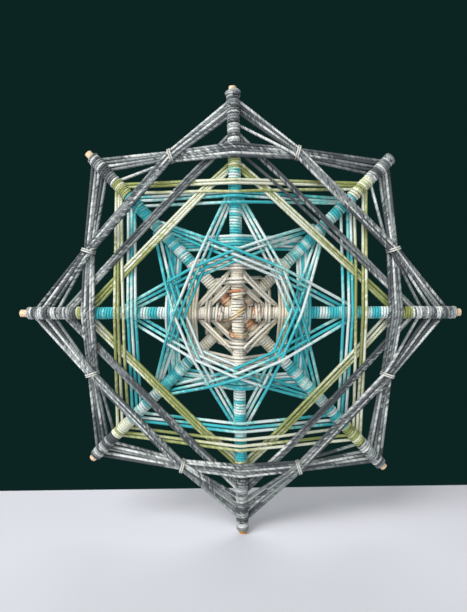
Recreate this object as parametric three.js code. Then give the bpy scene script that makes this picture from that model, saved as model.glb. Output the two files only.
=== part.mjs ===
import * as THREE from "three";

// Driving dimensions in millimetres: four crossed sticks laced together with yarn.
// +Z is up, the front looks along -Y, and the origin is the crossing of the sticks.
const STICK_LENGTH = 300;
const STICK_DIAMETER = 5;
const STICK_SIDES = 20;
const YARN_DIAMETER = 1.3;
const PIECE_GAP = 0.3;
const TURN_GAP = 0.45;

// Distances that follow from the ones above
const HALF = STICK_LENGTH / 2;
const STICK_RADIUS = STICK_DIAMETER / 2;
const YARN_RADIUS = YARN_DIAMETER / 2;
const STICK_STEP = STICK_DIAMETER + PIECE_GAP;
const STRAND_STEP = YARN_DIAMETER + TURN_GAP;
const TURN_REACH = STICK_RADIUS + PIECE_GAP + YARN_RADIUS;
const LEAVE_REACH = TURN_REACH + STRAND_STEP;
const PASS_REACH = TURN_REACH + STRAND_STEP;
const EDGE_REACH = TURN_REACH + STRAND_STEP * 0.7;
const CROSSING_STEP = STRAND_STEP * 2;
const BEND_LENGTH = STRAND_STEP * 1.8;
const LOOP_PITCH = STRAND_STEP * 2.75;
const INNER_PITCH = STRAND_STEP * 3.1;
const EYE_PITCH = STRAND_STEP * 3.6;
const STAR_PITCH = STRAND_STEP * 6.2;
const MOST_LEAVE = EYE_PITCH / 2;
const NATURAL_ORDER = STRAND_STEP * 3;
const TURN_PARTS = 8;
const TAIL_SHARE = 0.6;
const TINY = 1e-9;

// Front to back: upright, level, and the two slanting sticks, none of them set quite evenly
const STICKS = [
  { name: "stick_upright", angle: 90, slide: -1.0 },
  { name: "stick_level", angle: -1.1, slide: 0.2 },
  { name: "stick_falling", angle: 132, slide: 0.5 },
  { name: "stick_rising", angle: 44, slide: 0.35 },
];

// Eight arms, clockwise from the top: the stick each belongs to and which end of it
const ARM_STICKS = [0, 3, 1, 2, 0, 3, 1, 2];
const ARM_ENDS = [1, 1, 1, -1, -1, -1, -1, 1];
const ARM_NAMES = ["top", "top_right", "right", "low_right", "bottom", "low_left", "left", "top_left"];
const ARM_COUNT = ARM_NAMES.length;
const CROSS_ARMS = [0, 2, 4, 6];
const SLANT_ARMS = [1, 3, 5, 7];
const STAR_ARMS = [0, 3, 6, 1, 4, 7, 2, 5];

// The windings in the order they were wound. Shares are of half a stick's length.
// start: where the first loop turns round its arms; slant: the same on the slanting arms;
// room: where the next winding begins; crossing: where a square passes the arms between
const WINDINGS = [
  { name: "eye_diamond_inner", arms: CROSS_ARMS, start: 0.135, room: 0.2, loops: 1 },
  { name: "eye_square", arms: SLANT_ARMS, start: 0.17, room: 0.22, loops: 1, pitch: EYE_PITCH },
  { name: "eye_diamond_outer", arms: CROSS_ARMS, start: 0.205, room: 0.28, loops: 1, pitch: EYE_PITCH },
  { name: "cream_square", arms: SLANT_ARMS, start: 0.265, room: 0.36, loops: 2, pitch: EYE_PITCH },
  { name: "aqua_square_inner", arms: SLANT_ARMS, start: 0.385, room: 0.477, loops: 2, pitch: EYE_PITCH },
  {
    name: "aqua_star", arms: STAR_ARMS, start: 0.46, slant: 0.495, room: 0.58,
    loops: 2, pitch: STAR_PITCH,
  },
  { name: "aqua_square_outer", arms: SLANT_ARMS, start: 0.655, room: 0.745, loops: 2, pitch: INNER_PITCH },
  { name: "green_diamond", arms: CROSS_ARMS, start: 0.66, room: 0.755, loops: 2, pitch: INNER_PITCH },
  { name: "green_square", arms: SLANT_ARMS, start: 0.75, room: 0.85, loops: 2, pitch: INNER_PITCH },
  { name: "grey_diamond_inner", arms: CROSS_ARMS, start: 0.765, room: 0.855, loops: 2, pitch: INNER_PITCH },
  {
    name: "grey_square", arms: SLANT_ARMS, start: 0.87, room: 0.97, crossing: 0.69,
    loops: 2, pitch: INNER_PITCH,
  },
  { name: "grey_diamond_outer", arms: CROSS_ARMS, start: 0.868, room: 0.97, loops: 3 },
];
const TIED_SQUARE = "grey_square";
const TIED_DIAMOND = "grey_diamond_outer";

// Gaps between the arms that the lashing moves on by with each pass
const LASHING_STEP = 5;
const LASHING_END = 0.8;

// Ties bind the outer diamond to the grey square on both sides of each upright or level arm
const TIE_OUT = 0.7 * HALF;
const TIE_ASIDE = 0.282 * HALF;
const TIE_TURNS = 1.25;
const TIE_SEARCH = STRAND_STEP * 5;

// Close turns that cover the arms between two windings, laid on as a flat band of strands
const BAND_PITCH = STRAND_STEP * 4.5;
const BAND_STEPS = 6;
const COVERS = [
  { name: "cover_eye", arms: CROSS_ARMS, from: 0.075, before: "eye_diamond_inner" },
  { name: "cover_inner", arms: CROSS_ARMS, from: 0.285, after: "eye_diamond_outer", before: "aqua_star" },
  { name: "cover_outer", arms: CROSS_ARMS, from: 0.575, after: "aqua_star", before: "green_diamond" },
  { name: "cover_wing", arms: SLANT_ARMS, from: 0.605, after: "aqua_star", before: "aqua_square_outer" },
];

// Settling of the strands: pulls taut, then pushes crossing strands apart
const SETTLE_ROUNDS = 22;
const SETTLE_PASSES = 260;
const FIRST_SPACING = STRAND_STEP * 1.12;
const MOST_SPACING = STRAND_STEP * 2.6;
const TAUT_SHARE = 0.6;
const NEAR_STRETCHES = 3;
const WIDEN_SHARE = 1.2;
const STEEPEST = 1;
const STRAIGHT_ENOUGH = 0.15;

const COLOURS = {
  stick: 0xd9c39a,
  eye: 0xe9dfc8,
  cream: 0xeee6d4,
  aqua: 0x52c4c6,
  green: 0x9fae4e,
  grey: 0x77777a,
  cover: 0xbfe0dc,
  tie: 0xb9babb,
};

const group = new THREE.Group();
group.name = "ojo_de_dios";

function addPiece(name, geometry, colour) {
  const material = new THREE.MeshStandardMaterial({ color: colour, roughness: 0.8 });
  const mesh = new THREE.Mesh(geometry, material);
  mesh.name = name;
  group.add(mesh);
}

function colourOf(name) {
  const key = Object.keys(COLOURS).find((word) => name.startsWith(word));
  return COLOURS[key ?? "cover"];
}

// Arms as directions in the upright plane, with the clockwise direction across each
const arms = ARM_STICKS.map((stick, index) => {
  const turn = ARM_ENDS[index] > 0 ? 0 : Math.PI;
  const angle = THREE.MathUtils.degToRad(STICKS[stick].angle) + turn;
  const middle = (STICKS.length - 1) / 2;
  return {
    out: [Math.cos(angle), Math.sin(angle)],
    across: [Math.sin(angle), -Math.cos(angle)],
    depth: (stick - middle) * STICK_STEP,
    angle,
  };
});

// A place on an arm: out along it, across it clockwise, and back from its axis
function onArm(index, out, across, back) {
  const arm = arms[index];
  const x = arm.out[0] * out + arm.across[0] * across;
  const z = arm.out[1] * out + arm.across[1] * across;
  return { x, y: arm.depth + back, z };
}

function acrossArm(index, point) {
  const arm = arms[index];
  return point.x * arm.across[0] + point.z * arm.across[1];
}

function outArm(index, point) {
  const arm = arms[index];
  return point.x * arm.out[0] + point.z * arm.out[1];
}

function blend(a, b, share) {
  return {
    x: a.x + (b.x - a.x) * share,
    y: a.y + (b.y - a.y) * share,
    z: a.z + (b.z - a.z) * share,
  };
}

function flatDistance(a, b) {
  return Math.hypot(a.x - b.x, a.z - b.z);
}

// One turn round an arm: in behind it, round the front, and out behind the first pass
function turnRound(index, out, pitch) {
  const rise = pitch / TURN_PARTS;
  const last = out + (rise * TURN_PARTS) / 2;
  const onCross = CROSS_ARMS.includes(index);
  const leave = onCross ? last - TURN_REACH * 2 : out + rise - Math.min(pitch / 2, MOST_LEAVE);
  return [
    onArm(index, out, -TURN_REACH, TURN_REACH),
    onArm(index, out + rise, TURN_REACH, TURN_REACH),
    onArm(index, out + rise * 2, TURN_REACH, -TURN_REACH),
    onArm(index, out + rise * 3, -TURN_REACH, -TURN_REACH),
    onArm(index, last, -TURN_REACH, LEAVE_REACH),
    onArm(index, leave, TURN_REACH, LEAVE_REACH),
  ];
}

function loopsThatFit(winding) {
  const pitch = winding.pitch ?? LOOP_PITCH;
  const room = (winding.room - winding.start) * HALF - pitch / 2;
  const fitting = 1 + Math.floor(room / pitch);
  return Math.max(1, Math.min(winding.loops, fitting));
}

// The places a strand is led through between two arms, before it is pulled taut
function ledThrough(winding, loop, loops, from, to) {
  const places = [];
  const shift = (loop - (loops - 1) / 2) * STRAND_STEP;
  const between = (from + 1) % ARM_COUNT;
  if (winding.name === TIED_SQUARE) {
    const out = winding.crossing * HALF + loop * CROSSING_STEP;
    places.push(onArm(between, TIE_OUT + shift, -TIE_ASIDE, 0));
    places.push(onArm(between, out, -EDGE_REACH, 0));
    places.push(onArm(between, out, EDGE_REACH, 0));
    places.push(onArm(between, TIE_OUT + shift, TIE_ASIDE, 0));
  } else if (winding.name === TIED_DIAMOND) {
    const slip = shift * Math.SQRT1_2;
    const aside = TIE_ASIDE + YARN_RADIUS + slip;
    places.push(onArm(from, TIE_OUT + slip, aside, 0));
    places.push(onArm(to, TIE_OUT + slip, -aside, 0));
  }
  return places.map((place) => ({ ...place, held: false }));
}

// Adds the places where a strand passes the front edges of the arms it crosses
function addEdges(chord, from, to) {
  for (let index = (from + 1) % ARM_COUNT; index !== to; index = (index + 1) % ARM_COUNT) {
    for (const edge of [-EDGE_REACH, EDGE_REACH]) {
      for (let i = 1; i + 1 < chord.length; i += 1) {
        const here = acrossArm(index, chord[i]) - edge;
        const next = acrossArm(index, chord[i + 1]) - edge;
        const outside = outArm(index, chord[i]) > 0 && outArm(index, chord[i + 1]) > 0;
        if (outside && here < 0 && next >= 0) {
          const place = blend(chord[i], chord[i + 1], here / (here - next));
          chord.splice(i + 1, 0, { ...place, held: false, edgeOf: index });
          break;
        }
      }
    }
  }
}

// Every strand between two arms, in winding order
const chords = [];
const routes = WINDINGS.map((winding) => {
  const pitch = winding.pitch ?? LOOP_PITCH;
  const loops = loopsThatFit(winding);
  const stops = [];
  for (let loop = 0; loop < loops; loop += 1) {
    for (const arm of winding.arms) {
      const start = SLANT_ARMS.includes(arm) ? winding.slant ?? winding.start : winding.start;
      stops.push({ arm, loop, turn: turnRound(arm, start * HALF + loop * pitch, pitch) });
    }
  }
  const strands = [];
  for (let i = 0; i + 1 < stops.length; i += 1) {
    const { arm: from, loop, turn } = stops[i];
    const { arm: to, turn: nextTurn } = stops[i + 1];
    const chord = [{ ...turn[4], held: true }, { ...turn[5], held: true }];
    chord.push(...ledThrough(winding, loop, loops, from, to));
    chord.push({ ...nextTurn[0], held: true });
    addEdges(chord, from, to);
    strands.push(chord);
    chords.push(chord);
  }
  return { winding, stops, strands };
});

// Where two straight stretches cross as seen from the front, as shares along each
function crossingShares(a, b, c, d) {
  const firstX = b.x - a.x;
  const firstZ = b.z - a.z;
  const secondX = d.x - c.x;
  const secondZ = d.z - c.z;
  const area = firstX * secondZ - firstZ * secondX;
  if (Math.abs(area) < TINY) {
    return null;
  }
  const first = ((c.x - a.x) * secondZ - (c.z - a.z) * secondX) / area;
  const second = ((c.x - a.x) * firstZ - (c.z - a.z) * firstX) / area;
  const inside = first > 0 && first < 1 && second > 0 && second < 1;
  return inside ? [first, second] : null;
}

// Marks every crossing on both strands
const crossings = [];
const marks = chords.map(() => []);
for (let first = 0; first < chords.length; first += 1) {
  for (let later = first + 1; later < chords.length; later += 1) {
    for (let i = 0; i + 1 < chords[first].length; i += 1) {
      for (let j = 0; j + 1 < chords[later].length; j += 1) {
        const shares = crossingShares(
          chords[first][i], chords[first][i + 1], chords[later][j], chords[later][j + 1]);
        if (shares) {
          const crossing = { spacing: FIRST_SPACING };
          crossings.push(crossing);
          marks[first].push({ at: i, share: shares[0], crossing, side: "back" });
          marks[later].push({ at: j, share: shares[1], crossing, side: "front" });
        }
      }
    }
  }
}
chords.forEach((chord, number) => {
  const sorted = marks[number].sort((a, b) => b.at - a.at || b.share - a.share);
  for (const mark of sorted) {
    const before = chord[mark.at];
    const after = chord.slice(mark.at + 1).find((place) => !place.crossed);
    const held = before.held && after.held && mark.at === 0;
    const node = { ...blend(before, after, mark.share), held, crossed: true, chord };
    chord.splice(mark.at + 1, 0, node);
    mark.crossing[mark.side] = node;
  }
});

// A strand stays in front of an arm all the way from one edge of it to the other
for (const chord of chords) {
  for (let index = 0; index < ARM_COUNT; index += 1) {
    const edges = chord.filter((node) => node.edgeOf === index).map((node) => chord.indexOf(node));
    for (let i = edges[0]; i <= edges[edges.length - 1]; i += 1) {
      const limit = arms[index].depth - PASS_REACH;
      chord[i].limit = Math.min(chord[i].limit ?? limit, limit);
    }
  }
}

// Pulls every strand taut between the places that hold it
function pullTaut(chord) {
  for (let i = 1; i + 1 < chord.length; i += 1) {
    const node = chord[i];
    if (!node.held) {
      const before = flatDistance(chord[i - 1], node);
      const after = flatDistance(node, chord[i + 1]);
      const share = before / Math.max(before + after, TINY);
      const straight = chord[i - 1].y + (chord[i + 1].y - chord[i - 1].y) * share;
      node.y = Math.min(node.y + (straight - node.y) * TAUT_SHARE, node.limit ?? Infinity);
    }
  }
}

// Pushes crossing strands apart, whichever of the two is free to move
function keepApart() {
  for (const { back, front, spacing } of crossings) {
    const short = spacing - (back.y - front.y);
    if (short > 0) {
      const room = (back.limit ?? Infinity) - back.y;
      const free = back.held ? 0 : Math.min(room, front.held ? short : short / 2);
      back.y += free;
      front.y -= front.held ? 0 : short - free;
    }
  }
}

// Eases a strand where it would rise or dip too sharply between two places
function easeSlopes(chord) {
  for (let i = 1; i + 2 < chord.length; i += 1) {
    const [here, next] = [chord[i], chord[i + 1]];
    const most = flatDistance(here, next) * STEEPEST;
    const [low, high] = here.y < next.y ? [here, next] : [next, here];
    const excess = high.y - low.y - most;
    if (excess > 0) {
      const room = (low.limit ?? Infinity) - low.y;
      const lift = low.held ? 0 : Math.min(room, high.held ? excess : excess / 2);
      low.y += lift;
      high.y -= high.held ? 0 : excess - lift;
    }
  }
}

// Of two crossing strands the later lies in front, unless the arms hold them well apart
function chooseFronts() {
  for (const crossing of crossings) {
    const { back, front } = crossing;
    if (front.y - back.y > NATURAL_ORDER) {
      crossing.back = front;
      crossing.front = back;
    }
  }
}

function toVector(place) {
  return new THREE.Vector3(place.x, place.y, place.z);
}

// Least distance between two straight stretches
function stretchGap(a, b, c, d) {
  const u = b.clone().sub(a);
  const v = d.clone().sub(c);
  const w = a.clone().sub(c);
  const uu = Math.max(u.dot(u), TINY);
  const vv = Math.max(v.dot(v), TINY);
  const uv = u.dot(v);
  const flat = uu * vv - uv * uv;
  let s = flat > TINY ? THREE.MathUtils.clamp((uv * v.dot(w) - vv * u.dot(w)) / flat, 0, 1) : 0;
  const t = THREE.MathUtils.clamp((uv * s + v.dot(w)) / vv, 0, 1);
  s = THREE.MathUtils.clamp((uv * t - u.dot(w)) / uu, 0, 1);
  return a.clone().addScaledVector(u, s).distanceTo(c.clone().addScaledVector(v, t));
}

// Widens the spacing of each crossing whose strands still come too close on a slope
function widenCloseCrossings() {
  let widened = 0;
  for (const crossing of crossings) {
    const { back, front } = crossing;
    const backAt = back.chord.indexOf(back);
    const frontAt = front.chord.indexOf(front);
    let gap = Infinity;
    const lastBack = Math.min(backAt + NEAR_STRETCHES, back.chord.length - 1);
    const lastFront = Math.min(frontAt + NEAR_STRETCHES, front.chord.length - 1);
    for (let i = Math.max(0, backAt - NEAR_STRETCHES); i < lastBack; i += 1) {
      for (let j = Math.max(0, frontAt - NEAR_STRETCHES); j < lastFront; j += 1) {
        gap = Math.min(gap, stretchGap(
          toVector(back.chord[i]), toVector(back.chord[i + 1]),
          toVector(front.chord[j]), toVector(front.chord[j + 1])));
      }
    }
    if (gap < FIRST_SPACING) {
      const wider = crossing.spacing + (FIRST_SPACING - gap) * WIDEN_SHARE;
      crossing.spacing = Math.min(wider, MOST_SPACING);
      widened += 1;
    }
  }
  return widened;
}

for (let pass = 0; pass < SETTLE_PASSES * 2; pass += 1) {
  chords.forEach(pullTaut);
}
chooseFronts();
for (let round = 0; round < SETTLE_ROUNDS; round += 1) {
  for (let pass = 0; pass < SETTLE_PASSES; pass += 1) {
    chords.forEach(pullTaut);
    keepApart();
  }
  for (let pass = 0; pass < SETTLE_PASSES; pass += 1) {
    chords.forEach(easeSlopes);
    keepApart();
  }
  if (widenCloseCrossings() === 0) {
    break;
  }
}

// Leaves out the places along a strand where it runs straight on
function simplify(places) {
  const first = toVector(places[0]);
  const last = toVector(places[places.length - 1]);
  const line = new THREE.Line3(first, last);
  const nearest = new THREE.Vector3();
  let far = 0;
  let farAt = 0;
  for (let i = 1; i + 1 < places.length; i += 1) {
    const here = toVector(places[i]);
    line.closestPointToPoint(here, true, nearest);
    const off = here.distanceTo(nearest);
    if (off > far) {
      far = off;
      farAt = i;
    }
  }
  if (far < STRAIGHT_ENOUGH) {
    return [first, last];
  }
  const head = simplify(places.slice(0, farAt + 1));
  return [...head.slice(0, -1), ...simplify(places.slice(farAt))];
}

function routePath({ stops, strands }) {
  const path = [];
  stops.forEach(({ turn }, index) => {
    path.push(...turn.slice(0, 4).map(toVector));
    if (index < strands.length) {
      path.push(...simplify(strands[index]).slice(0, -1));
    } else {
      path.push(toVector(turn[4]), toVector(tailEnd(turn)));
    }
  });
  return path;
}

// The tail of a winding ends behind its last stick
function tailEnd(turn) {
  return blend(turn[4], turn[5], TAIL_SHARE);
}

// Joins rings of corners into one closed skin
function skin(rings) {
  const sides = rings[0].length;
  const indices = [];
  for (let i = 0; i + 1 < rings.length; i += 1) {
    for (let side = 0; side < sides; side += 1) {
      const next = (side + 1) % sides;
      const a = i * sides + side;
      const b = i * sides + next;
      indices.push(a, b, b + sides, a, b + sides, a + sides);
    }
  }
  const end = (rings.length - 1) * sides;
  for (let side = 1; side + 1 < sides; side += 1) {
    indices.push(0, side + 1, side, end, end + side, end + side + 1);
  }
  const geometry = new THREE.BufferGeometry();
  const places = rings.flat().flatMap((corner) => corner.toArray());
  geometry.setAttribute("position", new THREE.Float32BufferAttribute(places, 3));
  geometry.setIndex(indices);
  geometry.computeVertexNormals();
  return geometry;
}

// A strand with a four-cornered section, mitred at every bend
function strand(path) {
  const forward = path.slice(1).map((point, i) => point.clone().sub(path[i]).normalize());
  const up = new THREE.Vector3(0, 1, 0);
  up.addScaledVector(forward[0], -up.dot(forward[0])).normalize();
  const aside = new THREE.Vector3().crossVectors(forward[0], up);
  const section = [up, aside, up.clone().negate(), aside.clone().negate()];
  const rings = [section.map((offset) => path[0].clone().addScaledVector(offset, YARN_RADIUS))];
  for (let i = 1; i < path.length; i += 1) {
    const along = forward[i - 1];
    const plane = along.clone();
    if (i < forward.length) {
      plane.add(forward[i]).normalize();
    }
    rings.push(rings[i - 1].map((corner) => {
      const reach = plane.dot(path[i].clone().sub(corner)) / plane.dot(along);
      return corner.clone().addScaledVector(along, reach);
    }));
  }
  return skin(rings);
}

// Least gap of a strand to itself, measured between points set along it
function gapToItself(path) {
  const spacing = YARN_RADIUS;
  const skip = Math.ceil(BEND_LENGTH / spacing);
  const points = [];
  for (let i = 0; i + 1 < path.length; i += 1) {
    const steps = Math.max(1, Math.ceil(path[i].distanceTo(path[i + 1]) / spacing));
    for (let step = 0; step < steps; step += 1) {
      points.push(path[i].clone().lerp(path[i + 1], step / steps));
    }
  }
  let least = Infinity;
  for (let i = 0; i < points.length; i += 1) {
    for (let j = i + skip; j < points.length; j += 1) {
      least = Math.min(least, points[i].distanceToSquared(points[j]));
    }
  }
  return Math.sqrt(least) - YARN_DIAMETER;
}

// The four sticks
STICKS.forEach(({ name, angle, slide }, index) => {
  const geometry = new THREE.CylinderGeometry(STICK_RADIUS, STICK_RADIUS, STICK_LENGTH, STICK_SIDES);
  geometry.translate(0, slide, 0);
  geometry.rotateX(Math.PI / 2);
  geometry.rotateY(Math.PI / 2 - THREE.MathUtils.degToRad(angle));
  geometry.translate(0, (index - (STICKS.length - 1) / 2) * STICK_STEP, 0);
  addPiece(name, geometry, COLOURS.stick);
});

// The windings, each one unbroken strand
const paths = new Map();
for (const route of routes) {
  const { name } = route.winding;
  const path = routePath(route);
  paths.set(name, path);
  const colour = colourOf(name);
  addPiece(name, strand(path), colour);
  console.log(`${name}: least gap to itself ${gapToItself(path).toFixed(2)} mm`);
}

// The lashing: one strand through the eight gaps between the arms, round all four sticks
const posts = arms.map((arm, index) => {
  const next = arms[(index + 1) % ARM_COUNT];
  const half = Math.acos(arm.out[0] * next.out[0] + arm.out[1] * next.out[1]) / 2;
  const radius = (TURN_REACH + PIECE_GAP) / Math.sin(half);
  return { x: Math.cos(arm.angle - half) * radius, z: Math.sin(arm.angle - half) * radius };
});
const lashingReach = Math.max(...posts.map(({ x, z }) => Math.hypot(x, z)));
const frontDepths = [arms[0].depth - TURN_REACH, arms[2].depth - TURN_REACH];
const backDepths = [arms[1].depth + TURN_REACH, arms[3].depth + TURN_REACH];
const lashing = [];
for (let pass = 0; pass < ARM_COUNT; pass += 1) {
  const from = posts[(1 + pass * LASHING_STEP) % ARM_COUNT];
  const to = posts[(1 + (pass + 1) * LASHING_STEP) % ARM_COUNT];
  const depths = pass % 2 === 0 ? frontDepths : backDepths;
  const y = depths[Math.floor(pass / 2) % 2];
  lashing.push(toVector({ ...from, y }));
  const last = pass === ARM_COUNT - 1;
  lashing.push(toVector(last ? blend({ ...from, y }, { ...to, y }, LASHING_END) : { ...to, y }));
}
addPiece("eye_lashing", strand(lashing), COLOURS.eye);
console.log(`eye_lashing: least gap to itself ${gapToItself(lashing).toFixed(2)} mm`);

// How far out on an arm the turns of a winding begin and end
function turnsOn(name, index) {
  const { stops } = routes.find(({ winding }) => winding.name === name);
  const turns = stops.filter(({ arm }) => arm === index).map(({ turn }) => turn.slice(0, -1));
  const outs = turns.flat().map((place) => outArm(index, place));
  return [Math.min(...outs), Math.max(...outs)];
}

// The covers: a flat band of strands wound along each stretch of arm
for (const { name, arms: covered, from, after, before } of COVERS) {
  const corner = 1 / Math.cos(Math.PI / BAND_STEPS);
  const inner = (TURN_REACH - YARN_RADIUS) * corner;
  const outer = (TURN_REACH + YARN_RADIUS) * corner;
  for (const index of covered) {
    const inside = after ? turnsOn(after, index)[1] : lashingReach;
    const start = Math.max(from * HALF, inside + YARN_DIAMETER);
    const end = turnsOn(before, index)[0] - YARN_DIAMETER;
    const room = end - start + TURN_GAP + PIECE_GAP;
    const turns = Math.max(1, Math.round(room / BAND_PITCH) - 1);
    const pitch = room / (turns + 1);
    const halfWidth = (pitch - TURN_GAP - PIECE_GAP) / 2;
    const rings = [];
    for (let step = 0; step <= turns * BAND_STEPS; step += 1) {
      const angle = (step * Math.PI * 2) / BAND_STEPS;
      const out = start + halfWidth + (pitch * step) / BAND_STEPS;
      const section = [[halfWidth, inner], [halfWidth, outer], [-halfWidth, outer], [-halfWidth, inner]];
      rings.push(section.map(([aside, radius]) =>
        toVector(onArm(index, out + aside, Math.cos(angle) * radius, Math.sin(angle) * radius))));
    }
    addPiece(`${name}_${ARM_NAMES[index]}`, skin(rings), COLOURS.cover);
  }
}

// The ties: a turn and a quarter round the strands that meet beside an arm
const tiedPaths = [TIED_SQUARE, TIED_DIAMOND].map((name) => paths.get(name));
for (const index of CROSS_ARMS) {
  for (const side of [-1, 1]) {
    const reach = (STRAND_STEP * TIE_TURNS) / 2 + YARN_DIAMETER;
    const low = { out: Infinity, back: Infinity };
    const high = { out: -Infinity, back: -Infinity };
    for (const path of tiedPaths) {
      for (let i = 0; i + 1 < path.length; i += 1) {
        const steps = Math.max(1, Math.ceil(path[i].distanceTo(path[i + 1]) / PIECE_GAP));
        for (let step = 0; step <= steps; step += 1) {
          const point = path[i].clone().lerp(path[i + 1], step / steps);
          const out = outArm(index, point);
          const aside = Math.abs(acrossArm(index, point) - side * TIE_ASIDE);
          if (aside < reach && Math.abs(out - TIE_OUT) < TIE_SEARCH) {
            low.out = Math.min(low.out, out);
            high.out = Math.max(high.out, out);
            low.back = Math.min(low.back, point.y);
            high.back = Math.max(high.back, point.y);
          }
        }
      }
    }
    const corners = [
      [low.out - STRAND_STEP, high.back + STRAND_STEP],
      [high.out + STRAND_STEP, high.back + STRAND_STEP],
      [high.out + STRAND_STEP, low.back - STRAND_STEP],
      [low.out - STRAND_STEP, low.back - STRAND_STEP],
    ];
    const steps = corners.length * TIE_TURNS;
    const path = [];
    for (let step = 0; step <= steps; step += 1) {
      const [out, y] = corners[step % corners.length];
      const slip = (step / corners.length - TIE_TURNS / 2) * STRAND_STEP;
      const place = onArm(index, out, side * TIE_ASIDE + slip, 0);
      path.push(toVector({ ...place, y }));
    }
    const name = `tie_${ARM_NAMES[index]}_${side < 0 ? "before" : "after"}`;
    addPiece(name, strand(path), COLOURS.tie);
  }
}

export default group;
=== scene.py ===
import math

import bmesh
import bpy
import numpy as np
from bpy.props import FloatProperty, FloatVectorProperty, PointerProperty
from bpy.types import Operator, Panel, PropertyGroup
from mathutils import Matrix, Vector


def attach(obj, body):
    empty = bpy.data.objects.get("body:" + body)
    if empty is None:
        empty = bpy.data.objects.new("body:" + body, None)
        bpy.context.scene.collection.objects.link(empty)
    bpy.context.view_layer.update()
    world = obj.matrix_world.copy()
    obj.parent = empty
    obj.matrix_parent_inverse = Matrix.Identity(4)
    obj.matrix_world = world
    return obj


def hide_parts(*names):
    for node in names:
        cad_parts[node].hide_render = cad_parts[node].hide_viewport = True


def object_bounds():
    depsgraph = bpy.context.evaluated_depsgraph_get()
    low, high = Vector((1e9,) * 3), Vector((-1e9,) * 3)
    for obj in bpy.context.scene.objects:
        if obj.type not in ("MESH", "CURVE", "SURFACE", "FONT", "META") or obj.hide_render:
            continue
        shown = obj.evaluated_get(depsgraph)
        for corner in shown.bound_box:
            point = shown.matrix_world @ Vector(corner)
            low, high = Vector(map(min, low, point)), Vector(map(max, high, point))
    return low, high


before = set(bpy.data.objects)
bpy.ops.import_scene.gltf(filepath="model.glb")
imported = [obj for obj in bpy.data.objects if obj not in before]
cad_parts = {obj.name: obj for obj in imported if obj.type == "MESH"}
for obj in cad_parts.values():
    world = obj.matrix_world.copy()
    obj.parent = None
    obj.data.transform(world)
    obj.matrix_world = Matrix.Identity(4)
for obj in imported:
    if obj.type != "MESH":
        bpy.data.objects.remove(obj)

bl_info = {
    "name": "Ojo de Dios",
    "version": (1, 0, 0),
    "blender": (4, 5, 0),
    "location": "View3D > Sidebar > Ojo de Dios",
    "description": "Winds an eight-pointed yarn mandala on four crossed sticks",
    "category": "Add Mesh",
}

CAD_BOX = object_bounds()
PHOTO_HEIGHT = 612
MM = 0.001


def linear(hex_colour):
    """Turns an sRGB hex value into linear red, green and blue."""
    channels = [int(hex_colour[i:i + 2], 16) / 255 for i in (0, 2, 4)]
    return tuple(c / 12.92 if c <= 0.04045 else ((c + 0.055) / 1.055) ** 2.4 for c in channels)


def length(name, description, millimetres):
    return FloatProperty(name=name, description=description, default=millimetres * MM, unit="LENGTH")


def colour(name, description, hex_colour):
    return FloatVectorProperty(
        name=name, description=description, default=linear(hex_colour), subtype="COLOR", min=0, max=1)


class MandalaSizes(PropertyGroup):
    """Sizes of the sticks and of the yarn."""
    stick_length: length("Stick length", "Length of each of the four dowels", 300)
    stick_diameter: length("Stick diameter", "Diameter of the dowels", 5)
    stick_spacing: length("Stick spacing", "Depth from one stick's axis to the next", 5.3)
    end_bevel: length("End bevel", "Worn edge of the sawn ends", 0.35)
    # The upright is coloured amber for this length at its foot
    tinted_foot: length("Tinted foot", "Length of the upright that is stained at its foot", 6)
    yarn_diameter: length("Yarn diameter", "Diameter of the plied yarn where it is stretched", 2.3)
    wrap_diameter: length("Wrap diameter", "Width of the yarn where it lies flattened round a stick", 2.4)
    wrap_sink: length("Wrap sink", "How far the inner side, flat in real yarn, is sunk in the stick", 0.5)
    wrap_pitch: length("Wrap pitch", "Distance from one turn to the next along a stick", 2.0)
    ply_groove: length("Ply groove", "What the grooves between the plies take off the diameter", 0.3)
    ply_turn: length("Ply turn", "Length of yarn in which the plies go once round", 6)
    sample_step: length("Sample step", "Distance between two sections of the yarn", 0.75)


class MandalaColours(PropertyGroup):
    """Colours of the yarns, the wood and the stage."""
    ivory: colour("Ivory", "Undyed cotton of the eye", "f7f1e2")
    straw: colour("Straw", "Darker stretches of the cream yarn", "e6d9b8")
    rust: colour("Rust", "Dyed stretches at the start of the yarn", "cf8a60")
    honey: colour("Honey", "Golden yarn at the crossing", "ecd0a0")
    white: colour("White", "Undyed stretches of the turquoise yarn", "e2f0ee")
    turquoise: colour("Turquoise", "Dyed stretches of the turquoise yarn", "42c0c9")
    sea_green: colour("Sea green", "Where the dye ran thin", "9ee2dc")
    pale_lime: colour("Pale lime", "Light stretches of the green yarn", "e8ebd4")
    moss: colour("Moss", "Middling stretches of the green yarn", "c6cb96")
    olive: colour("Olive", "Dark stretches of the green yarn", "9aa360")
    charcoal: colour("Charcoal", "Dark plies of the grey yarn", "50575a")
    slate: colour("Slate", "Middling stretches of the grey yarn", "989f9e")
    ash: colour("Ash", "Light plies of the grey yarn", "ecf0ec")
    silver: colour("Silver", "Yarn of the ties", "e2e2d8")
    birch: colour("Birch", "Bare wood of the dowels", "f2d3ae")
    # The colour of the upright's foot, amber
    amber: colour("Amber", "Tinted foot of the upright", "d2902f")
    floor: colour("Floor", "Plain pale floor", "dcdce4")
    backdrop: colour("Backdrop", "Plain dark surroundings", "0c2422")


# The sticks from front to back: the angle of each in degrees, and how far it slid along itself in mm
STICKS = {
    "stick_upright": (90.0, -1.0),
    "stick_level": (-1.1, 0.2),
    "stick_falling": (132.0, 0.5),
    "stick_rising": (44.0, 0.35),
}
# The arms clockwise from the top: the stick that each is half of, which end of it, and its bare wood in mm
ARM_NAMES = ("top", "top_right", "right", "low_right", "bottom", "low_left", "left", "top_left")
ARM_STICKS = (0, 3, 1, 2, 0, 3, 1, 2)
ARM_ENDS = (1, 1, 1, -1, -1, -1, -1, 1)
BARE_ENDS = (3.0, 0.9, 3.6, 3.2, 2.6, 3.2, 4.8, 3.6)

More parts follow.
